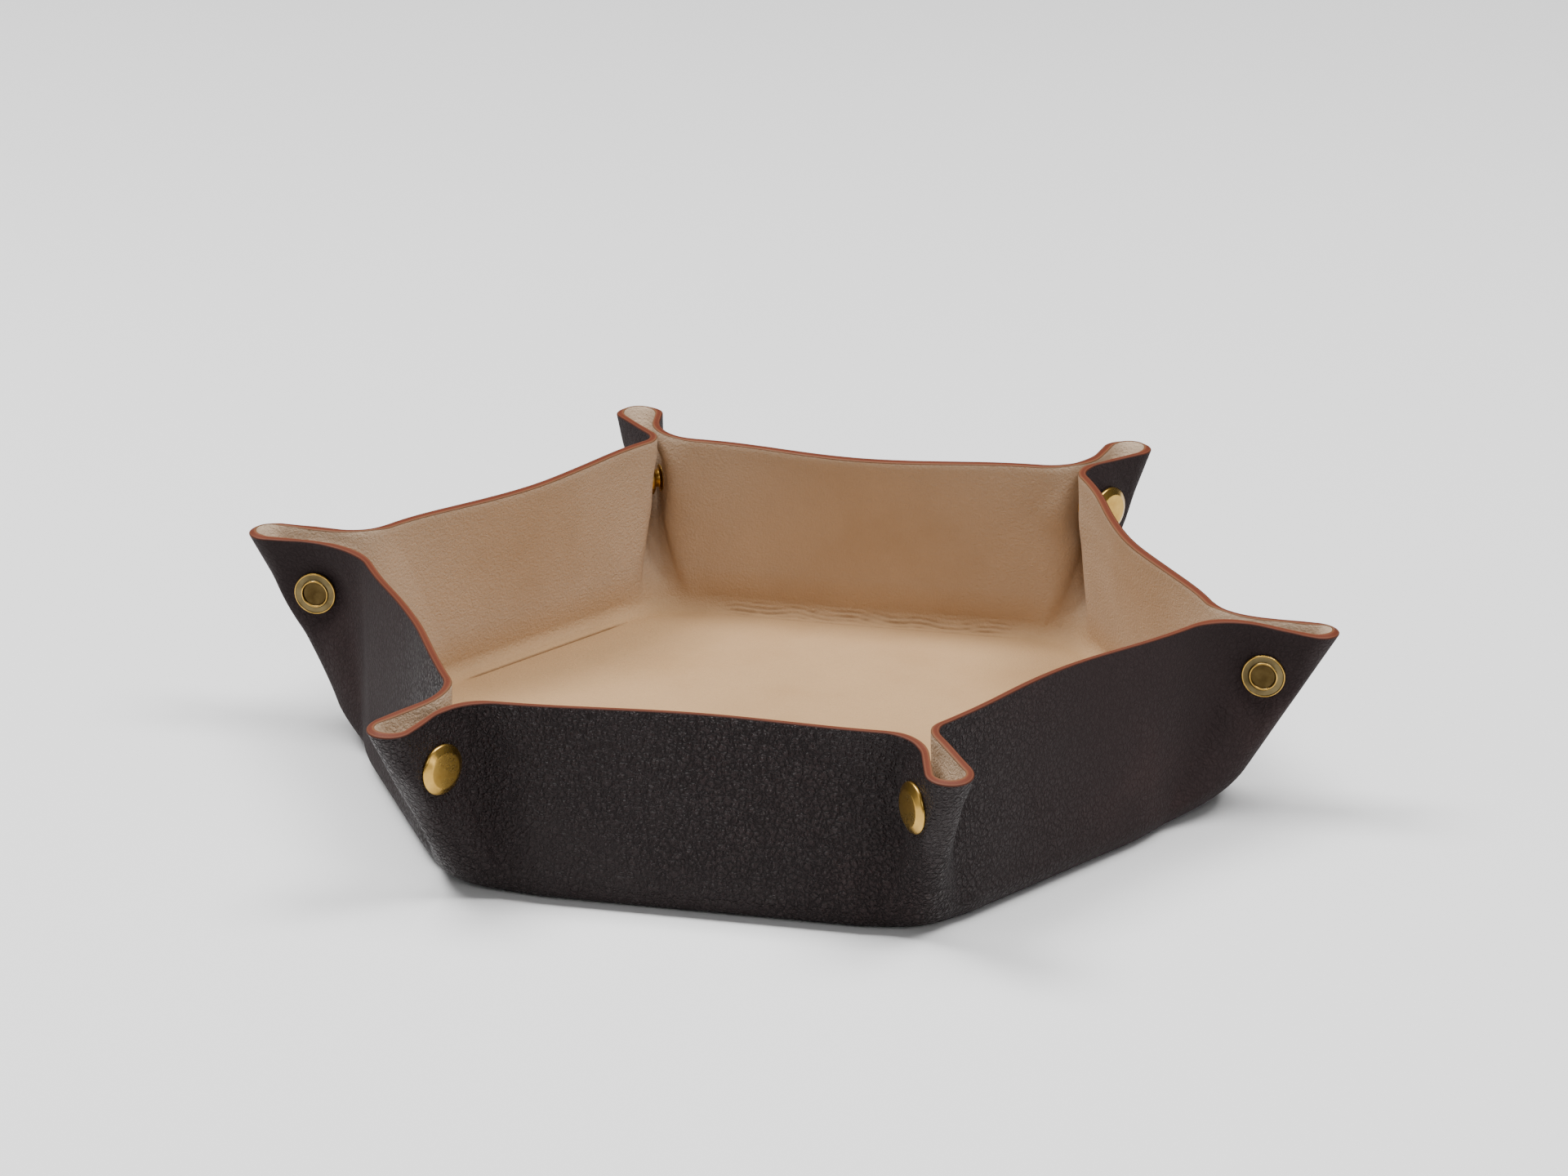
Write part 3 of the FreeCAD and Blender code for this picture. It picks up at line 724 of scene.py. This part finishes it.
def half_grid(z, angle, high, climb):
    """Grid of the sheet's middle over one half corner, from the fold to the wall.

    Columns follow the share, and those of the loop draw together toward the floor, where it is wide.
    Round the snap the flank is pressed flat: its distance from the mid plane goes over to the seat's.
    """
    corner = corner_at(angle)
    _, root_end, flank_end, _ = top_edge(z, corner, high, np.zeros(1))[3]
    width = (corner.floor_radius + FOLD_SWELL * corner.fold_bend) * HALF_CORNER * (1.0 - flank_end)
    foot = min(1.0, LOOP_FOOT / width)
    widened = foot + (1.0 - foot) * eased((climb - LOOP_WIDENING[0]) / LOOP_WIDENING[1])
    loop_end = 1.0 - (1.0 - flank_end) * widened
    on_loop, on_flank, on_root = (
        np.linspace(0.0, 1.0, count)[:, None] for count in (LOOP_COLUMNS, FLANK_COLUMNS, ROOT_COLUMNS))
    share = np.concatenate([
        1.0 + (loop_end - 1.0) * on_loop,
        loop_end + (root_end - loop_end) * on_flank[1:],
        np.repeat(root_end * (1.0 - on_root[1:]), len(climb), axis=1)])
    points = half_corner(z, corner, high, share, np.broadcast_to(climb, share.shape))
    snap, turn = snap_place(z, angle, high)
    ahead = points[..., 0] - snap[0]
    away = np.hypot(ahead, points[..., 2] - snap[2])
    near = 1.0 - eased((away - SNAP_PAD[0]) / (SNAP_PAD[1] - SNAP_PAD[0]))
    near = near * np.clip(points[..., 1] / PAD_WIDTH, 0.0, 1.0)
    points[..., 1] += (snap[1] - math.tan(turn) * ahead - points[..., 1]) * near
    return points


def leather_pair(name, z, points, place, rimmed=True, groove=0.0):
    """The outer leather and the lining over one grid, named for the panel; the lining takes the groove."""
    made = []
    for layer in LAYERS:
        face = bpy.data.materials[layer.finish]
        edge = bpy.data.materials["leather_cut_edge"] if rimmed else face
        item = sheet_layer("leather_%s_%s" % (name, layer.name), points, z[layer.face], z["bond"],
                           (face, edge), place, 0.0 if layer.name == "outer" else groove)
        made.append((layer.name, item))
    return made


FLOOR_RINGS = 40
FLOOR_ARC_POINTS = 25
FLOOR_SIDE_POINTS = 33


def floor_outline(z):
    """The crease's start line: six straight sides joined by arcs of the corners' floor radii."""
    theta = np.linspace(-HALF_CORNER, HALF_CORNER, FLOOR_ARC_POINTS)
    around = np.stack([np.cos(theta), np.sin(theta), 0.0 * theta], axis=-1)
    arcs = []
    for angle, corner in CORNERS.items():
        middle = np.array([floor_arc_x(z, corner), 0.0, 0.0])
        arcs.append(turned(middle + corner.floor_radius * around, angle))
    side = np.linspace(0.0, 1.0, FLOOR_SIDE_POINTS)[1:-1, None]
    parts = []
    for arc, following in zip(arcs, arcs[1:] + arcs[:1]):
        parts += [arc, arc[-1] + (following[0] - arc[-1]) * side]
    return np.concatenate(parts)


def capped_rings(rings, poles):
    """Points, quads and end fans of closed rings joined in order, with a pole at either end."""
    rows, count = rings.shape[:2]
    index = np.arange(rows * count).reshape(rows, count)
    after = np.roll(index, -1, axis=1)
    quads = np.stack([index[:-1], index[1:], after[1:], after[:-1]], axis=-1).reshape(-1, 4)
    first, last = rows * count, rows * count + 1
    fans = np.concatenate([
        np.stack([np.full(count, first), index[0], after[0]], axis=-1),
        np.stack([np.full(count, last), after[-1], index[-1]], axis=-1)])
    return np.concatenate([rings.reshape(-1, 3), poles]), quads, fans


def floor_layer(z, layer):
    """One flat layer: rings of the outline scaled toward the middle, on both faces, joined at the edge."""
    scale = np.linspace(1.0 / FLOOR_RINGS, 1.0, FLOOR_RINGS)
    rings = floor_outline(z)[None] * scale[:, None, None]
    faces = np.array([[0.0, 0.0, z["half"] - z[layer.face]], [0.0, 0.0, z["half"] - z["bond"]]])
    points, quads, fans = capped_rings(np.concatenate([rings + faces[0], (rings + faces[1])[::-1]]), faces)
    slots = np.zeros(len(quads) + len(fans), dtype=int)
    material = bpy.data.materials[layer.finish]
    return mesh_object("leather_floor_" + layer.name, points, quads, fans, (material,), slots)


# The two lines pressed along a crease, by their climb, and the bell of wrinkles over the bend.
LINE_CLIMBS = (0.12, 0.38)
LINE_WIDTH = 0.045
LINE_DEPTH = 0.55
WRINKLE_CLIMB = 0.5
WRINKLE_WIDTH = 0.3
WRINKLE_DEPTH = 0.4


def bell(value, middle, width):
    """exp(-((value - middle) / width)^2)."""
    return np.exp(-((value - middle) / width) ** 2)


def crease_marks(along, climb, press):
    """Depth pressed into the lining at a crease: two fine lines, and wrinkles where it is pressed less.

    The lines are narrow bells of the climb. The wrinkles are a sine of the climb whose phase wanders
    along the wall, stronger here and there, inside a wide bell over the bend. Both fade toward the ends.
    """
    lower, upper = press
    lines = lower * bell(climb, LINE_CLIMBS[0], LINE_WIDTH) + upper * bell(climb, LINE_CLIMBS[1], LINE_WIDTH)
    fade = eased(np.minimum(along, 1.0 - along) / 0.12 + 0.15)
    phase = 5.2 * climb + 1.1 * np.sin(6.1 * along) + 0.35 * np.sin(31.0 * along + 1.0)
    patchy = 0.35 + 0.65 * np.sin(13.0 * along + 4.0 * climb + 1.5 * np.sin(37.0 * along)) ** 2
    waves = 0.5 + 0.5 * np.sin(2.0 * math.pi * phase)
    wrinkles = patchy * waves * bell(climb, WRINKLE_CLIMB, WRINKLE_WIDTH)
    return fade * (LINE_DEPTH * lines + WRINKLE_DEPTH * (1.0 - lower) * wrinkles)


# A wall's bow: the height where it begins and over which it grows, in millimetres, and its power.
BOW_RISE = (4.0, 44.0)
BOW_POWER = 1.5


def wall_grid(z, name):
    """Grid of a wall's middle in the wall's frame, and the share of the way along it of each column.

    Straight lines join the edges of the two half corners beside it, and the rim bows inward by its bow
    times sin^2 of the way along and a power of the rise.
    """
    angle = WALLS[name]
    low = turned(half_grid(z, angle - 30, True, WALL_CLIMB)[-1], -30)
    high = turned(half_grid(z, angle + 30, False, WALL_CLIMB)[-1], 30, True)
    along = np.linspace(0.0, 1.0, WALL_COLUMNS)[:, None]
    points = low[None] + (high - low)[None] * along[..., None]
    rise = np.clip((points[..., 2] - BOW_RISE[0]) / BOW_RISE[1], 0.0, 1.0)
    points[..., 0] -= WALL_BOW[name] * np.sin(math.pi * along) ** 2 * rise ** BOW_POWER
    return points, along


# Where a flank's fold at its root begins and ends, in the corner's frame, in millimetres.
EAR_FOLD_START = np.array([105.05, 0.0, 30.0])
EAR_FOLD_END = np.array([111.865, 0.0, 31.124])
ACROSS_EAR = np.array([0.0, 1.0, 0.0])


# Turned profiles of the snaps: radius and height over the leather, in millimetres, from the top's middle.
CAP_PROFILE = (
    (0.0, 1.9), (2.4, 1.87), (4.0, 1.8), (4.25, 1.77), (4.5, 1.66), (5.55, 1.06), (5.85, 0.86), (6.0, 0.62),
    (6.0, 0.2), (5.8, 0.0), (1.6, 0.0), (1.6, -1.8), (0.0, -1.8))
RING_PROFILE = (
    (0.0, 0.5), (1.2, 0.52), (2.6, 0.5), (2.85, 0.52), (2.95, 0.8), (3.1, 1.0), (3.3, 1.0), (3.45, 0.8),
    (3.6, 0.72), (4.6, 0.6), (4.8, 0.62), (4.95, 0.74), (5.12, 0.7), (5.25, 0.46), (5.25, 0.1), (5.1, 0.0),
    (1.6, 0.0), (1.6, -1.8), (0.0, -1.8))
SOCKET_PROFILE = (
    (0.0, 0.7), (2.6, 0.7), (3.4, 0.78), (3.5, 1.6), (3.5, 2.3), (2.95, 2.42), (2.85, 2.6), (2.98, 2.84),
    (3.4, 2.92), (4.0, 2.88), (4.32, 2.6), (4.45, 1.0), (4.7, 0.84), (5.0, 0.76), (5.2, 0.5), (5.2, 0.2),
    (5.0, 0.0), (0.0, 0.0))
STUD_PROFILE = (
    (0.0, 4.2), (1.4, 4.2), (2.1, 4.08), (2.55, 3.7), (2.62, 3.4), (2.55, 3.1), (2.36, 2.85), (2.3, 1.1),
    (2.5, 0.66), (3.2, 0.5), (3.5, 0.38), (3.55, 0.25), (3.5, 0.12), (3.4, 0.0), (0.0, 0.0))

# A snap's parts by wall: the piece's name, the node it replaces, its slot, profile and finish, and
# whether it stands outside the ear and has rings.
SnapPart = namedtuple("SnapPart", "piece node slot profile finish outward ringed")
CAPPED = (
    SnapPart("cap", "snap_cap", "brass", CAP_PROFILE, "polished_brass", True, False),
    SnapPart("socket", "snap_socket", "brass", SOCKET_PROFILE, "polished_brass", False, False),
)
STUDDED = (
    SnapPart("ring", "snap_stud", "antique_brass", RING_PROFILE, "aged_brass", True, True),
    SnapPart("stud", None, "antique_brass", STUD_PROFILE, "polished_brass", False, False),
)

# The bands of a ring, by radius and height: dark centre, bright eyelet, bright rim.
DARK_CENTRE = 2.92
EYELET = (2.95, 3.42)
EYELET_HEIGHT = 0.75
BRIGHT_RIM = 4.85
RING_FACE = 0.2
# How deep a snap's part sits in the leather, in millimetres.
SNAP_SINK = 0.02
PROFILE_ROUNDS = 2
TURN_STEPS = 64


def softened(profile, rounds):
    """Corner-cut profile: each round replaces a corner by the points a quarter along its two sides."""
    points = np.asarray(profile, dtype=float)
    for _ in range(rounds):
        a, b = points[:-1], points[1:]
        cut = np.stack([0.75 * a + 0.25 * b, 0.25 * a + 0.75 * b], axis=1).reshape(-1, 2)
        points = np.concatenate([points[:1], cut, points[-1:]])
    return points


def ring_bands(profile):
    """The finish of each step of a ring's profile: 0 aged, 1 dark, 2 bright."""
    radius, height = (0.5 * (profile[:-1] + profile[1:])).T
    centre = (radius < DARK_CENTRE) & (height > RING_FACE)
    eyelet = (radius > EYELET[0]) & (radius < EYELET[1]) & (height > EYELET_HEIGHT)
    rim = (radius > BRIGHT_RIM) & (height > RING_FACE)
    return np.where(centre, 1, np.where(eyelet | rim, 2, 0))


def turned_metal(name, profile, bands, base, way, materials):
    """A turned piece: the profile's (radius, height) points carried round an axis in even steps.

    The profile starts and ends on the axis, where the poles are closed by fans; bands gives, for each
    profile step, the finish it takes.
    """
    turn = np.arange(TURN_STEPS) * (2.0 * math.pi / TURN_STEPS)
    side = np.cross(way, (0.0, 0.0, 1.0))
    side = side / np.linalg.norm(side)
    up = np.cross(side, way)
    ring = np.cos(turn)[:, None] * side + np.sin(turn)[:, None] * up
    inner = profile[1:-1]
    rings = base + inner[:, None, 0:1] * ring[None] + inner[:, None, 1:2] * way
    points, quads, fans = capped_rings(rings, base + profile[[0, -1], 1:2] * way)
    slots = np.repeat(np.concatenate([bands[1:-1], bands[[0, -1]]]), TURN_STEPS)
    return mesh_object(name, points, quads, fans, materials, slots)


def snap_piece(part, tail, z, angle, mirror):
    """A turned part of a snap standing on its flank, its axis square to the pad."""
    profile = softened(part.profile, PROFILE_ROUNDS)
    bands = ring_bands(profile) if part.ringed else np.zeros(len(profile) - 1, dtype=int)
    snap, turn = snap_place(z, angle, not mirror)
    axis = np.array([math.sin(turn), math.cos(turn), 0.0])
    seat = z["outer"] - SNAP_SINK if part.outward else z["inner"] + SNAP_SINK
    base = turned(snap + seat * axis, angle, mirror)
    way = turned(axis if part.outward else -axis, angle, mirror)
    materials = [bpy.data.materials[label] for label in (part.finish, "dark_antique_brass", "polished_brass")]
    return turned_metal("%s_%s" % (part.piece, tail), profile, bands, base, way, materials)


class VALETTRAY_OT_finishes(Operator):
    """Make the leather, cut-edge and metal materials and their shared node groups"""

    bl_idname = "valet_tray.finishes"
    bl_label = "Finishes"

    def execute(self, context):
        grain = leather_grain_group()
        wear = handled_metal_group()
        finish = tray_finish()
        outer_leather_material(grain)
        lining_material(grain)
        cut_edge_material(grain)
        metal_material("polished_brass", finish.brass_colour, wear, smooth=0.24, rough=0.34, dull=0.78)
        metal_material("aged_brass", finish.aged_colour, wear, smooth=0.26, rough=0.42, dull=0.7)
        metal_material("dark_antique_brass", finish.antique_colour, wear, smooth=0.34, rough=0.5, dull=0.6)
        studio_floor_material()
        return {"FINISHED"}


class VALETTRAY_OT_floor(Operator):
    """Make the floor's two leather layers and the bends at its rounded corners"""

    bl_idname = "valet_tray.floor"
    bl_label = "Floor"

    def execute(self, context):
        z = sheet_sizes()
        for layer in LAYERS:
            item = floor_layer(z, layer)
            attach(item, "floor")
            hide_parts("floor_" + layer.name)
        for wall, side, angle, mirror in flanks():
            place = partial(turned, degrees=angle, mirror=mirror)
            points = wavered(half_grid(z, angle, not mirror, floor_climb(corner_at(angle).foot)), place)
            for _, item in leather_pair("floor_bend_%s_%s" % (wall, side), z, points, place, rimmed=False):
                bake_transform(item)
        return {"FINISHED"}


class VALETTRAY_OT_walls(Operator):
    """Make the six walls, each bending up from the floor along its crease"""

    bl_idname = "valet_tray.walls"
    bl_label = "Walls"

    def execute(self, context):
        z = sheet_sizes()
        for name, angle in WALLS.items():
            body = "wall_" + name
            place = partial(turned, degrees=angle)
            points, along = wall_grid(z, name)
            groove = crease_marks(along, WALL_CLIMB[None, :], CREASE_PRESS[name])
            for layer, item in leather_pair(body, z, wavered(points, place), place, groove=groove):
                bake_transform(item)
                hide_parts("%s_%s" % (body, layer))
        return {"FINISHED"}


class VALETTRAY_OT_ears(Operator):
    """Make the twelve ear flanks and the loop halves that close each ear"""

    bl_idname = "valet_tray.ears"
    bl_label = "Ears"

    def execute(self, context):
        z = sheet_sizes()
        for wall, side, angle, mirror in flanks():
            tail = "%s_%s" % (wall, side)
            body = "ear_" + tail
            place = partial(turned, degrees=angle, mirror=mirror)
            points = wavered(half_grid(z, angle, not mirror, ear_climb(corner_at(angle).foot)), place)
            start = tuple(place(EAR_FOLD_START) * MM)
            end = tuple(place(EAR_FOLD_END) * MM)
            for layer, item in leather_pair(body, z, points[LOOP_COLUMNS - 1:], place):
                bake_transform(item)
                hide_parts("%s_%s" % (body, layer))
            axis = tuple(place(ACROSS_EAR))
            anchor = tuple(place(snap_place(z, angle, not mirror)[0]) * MM)
            for _, item in leather_pair("loop_" + tail, z, points[:LOOP_COLUMNS], place):
                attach(item, body)
                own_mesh(item)
        return {"FINISHED"}


class VALETTRAY_OT_snaps(Operator):
    """Make the snap caps and sockets and, on the walls between, the ringed studs"""

    bl_idname = "valet_tray.snaps"
    bl_label = "Snaps"

    def execute(self, context):
        z = sheet_sizes()
        for wall, side, angle, mirror in flanks():
            tail = "%s_%s" % (wall, side)
            for part in CAPPED if wall in CAPPED_WALLS else STUDDED:
                item = snap_piece(part, tail, z, angle, mirror)
                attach(item, "ear_" + tail)
                if part.node:
                    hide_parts("%s_%s" % (part.node, tail))
        return {"FINISHED"}


# Soft lights: name, place, the height they aim at over the tray's middle, width, length and power.
LIGHTS = (
    ("top_softbox", (0.0, 0.0, 1.8), 0.02, 0.8, 0.8, 12.0),
    ("left_high_softbox", (-0.8, 0.0, 1.55), 0.02, 0.7, 0.7, 33.0),
    ("right_high_softbox", (0.8, 0.0, 1.55), 0.02, 0.7, 0.7, 26.0),
    ("left_softbox", (-1.2, -0.9, 0.7), 0.03, 0.2, 0.8, 2.5),
    ("right_softbox", (1.1, -0.85, 0.4), 0.03, 0.2, 0.6, 2.5),
    ("front_fill", (0.45, -1.55, 0.95), 0.03, 0.5, 0.35, 4.0),
)
WORLD_STRENGTH = 0.1

# Camera of the photograph: focal length, the point it looks at, its distance, height angle and plan angle.
LENS_MM = 131.25
LOOK_AT = (0.0, 0.0, 0.0466)
DISTANCE = 1.369
HEIGHT_ANGLE = math.radians(19.78)
PLAN_ANGLE = math.radians(-76.91)
ROLL = math.radians(0.13)
SHIFT = (0.00087, -0.0039)

# The studio floor's half width, its points along a side, and how far it lies under the tray.
STUDIO_HALF = 4.0
STUDIO_POINTS = 9
STUDIO_DROP = 0.0002


def studio_floor():
    """A flat square grid a hair under the tray."""
    line = np.linspace(-STUDIO_HALF, STUDIO_HALF, STUDIO_POINTS)
    x, y = np.meshgrid(line, line, indexing="ij")
    points = np.stack([x, y, np.full_like(x, -STUDIO_DROP)], axis=-1).reshape(-1, 3)
    index = np.arange(x.size).reshape(x.shape)
    quads = np.stack([index[:-1, :-1], index[1:, :-1], index[1:, 1:], index[:-1, 1:]], axis=-1)
    mesh = bpy.data.meshes.new("studio_floor")
    mesh.from_pydata(points.tolist(), [], quads.reshape(-1, 4).tolist())
    mesh.materials.append(bpy.data.materials["studio_floor"])
    return bpy.data.objects.new("studio_floor", mesh)


def soft_light(name, place, aim_height, wide, long, power):
    lamp = bpy.data.lights.new(name, "AREA")
    lamp.shape = "RECTANGLE"
    lamp.size = wide
    lamp.size_y = long
    lamp.energy = power
    item = bpy.data.objects.new(name, lamp)
    item.location = place
    aim = Vector((0.0, 0.0, aim_height)) - Vector(place)
    item.rotation_euler = aim.to_track_quat("-Z", "Y").to_euler()
    return item


def photo_camera():
    """The camera, set back from the point it looks at along its height and plan angles."""
    lens = bpy.data.cameras.new("photo_camera")
    lens.lens = LENS_MM
    lens.sensor_width = 36.0
    lens.shift_x, lens.shift_y = SHIFT
    lens.clip_end = 50.0
    camera = bpy.data.objects.new("photo_camera", lens)
    flat = math.cos(HEIGHT_ANGLE)
    away = Vector((flat * math.cos(PLAN_ANGLE), flat * math.sin(PLAN_ANGLE), math.sin(HEIGHT_ANGLE)))
    camera.location = Vector(LOOK_AT) + away * DISTANCE
    aim = (-away).to_track_quat("-Z", "Y").to_matrix() @ Matrix.Rotation(ROLL, 3, "Z")
    camera.rotation_euler = aim.to_euler()
    return camera


class VALETTRAY_OT_stage(Operator):
    """Make the pale studio floor, the soft lights and the camera"""

    bl_idname = "valet_tray.stage"
    bl_label = "Stage"

    def execute(self, context):
        scene = context.scene
        floor = studio_floor()
        scene.collection.objects.link(floor)
        world = bpy.data.worlds.new("studio_world")
        world.use_nodes = True
        backdrop = world.node_tree.nodes["Background"]
        backdrop.inputs["Color"].default_value = (1.0, 1.0, 1.0, 1.0)
        backdrop.inputs["Strength"].default_value = WORLD_STRENGTH
        scene.world = world
        for light in LIGHTS:
            scene.collection.objects.link(soft_light(*light))
        camera = photo_camera()
        scene.collection.objects.link(camera)
        scene.camera = camera
        return {"FINISHED"}


class VALETTRAY_PT_sidebar(Panel):
    """Sidebar list of the tray's parts and its sizes"""

    bl_idname = "VALETTRAY_PT_sidebar"
    bl_label = "Valet tray"
    bl_space_type = "VIEW_3D"
    bl_region_type = "UI"
    bl_category = "Valet tray"

    def draw(self, context):
        column = self.layout.column()
        for operator in OPERATORS:
            column.operator(operator.bl_idname)
        for group in (context.scene.valet_tray_sizes, context.scene.valet_tray_finish):
            for name in group.__annotations__:
                column.prop(group, name)


OPERATORS = (
    VALETTRAY_OT_finishes,
    VALETTRAY_OT_floor,
    VALETTRAY_OT_walls,
    VALETTRAY_OT_ears,
    VALETTRAY_OT_snaps,
    VALETTRAY_OT_stage,
)
CLASSES = (ValetTraySizes, ValetTrayFinish) + OPERATORS + (VALETTRAY_PT_sidebar,)


def register():
    for item in CLASSES:
        bpy.utils.register_class(item)
    bpy.types.Scene.valet_tray_sizes = PointerProperty(type=ValetTraySizes)
    bpy.types.Scene.valet_tray_finish = PointerProperty(type=ValetTrayFinish)


def unregister():
    del bpy.types.Scene.valet_tray_finish
    del bpy.types.Scene.valet_tray_sizes
    for item in reversed(CLASSES):
        bpy.utils.unregister_class(item)


def main():
    register()
    bpy.ops.valet_tray.finishes()
    bpy.ops.valet_tray.floor()
    bpy.ops.valet_tray.walls()
    bpy.ops.valet_tray.ears()
    bpy.ops.valet_tray.snaps()
    bpy.ops.valet_tray.stage()


if __name__ == "__main__":
    main()
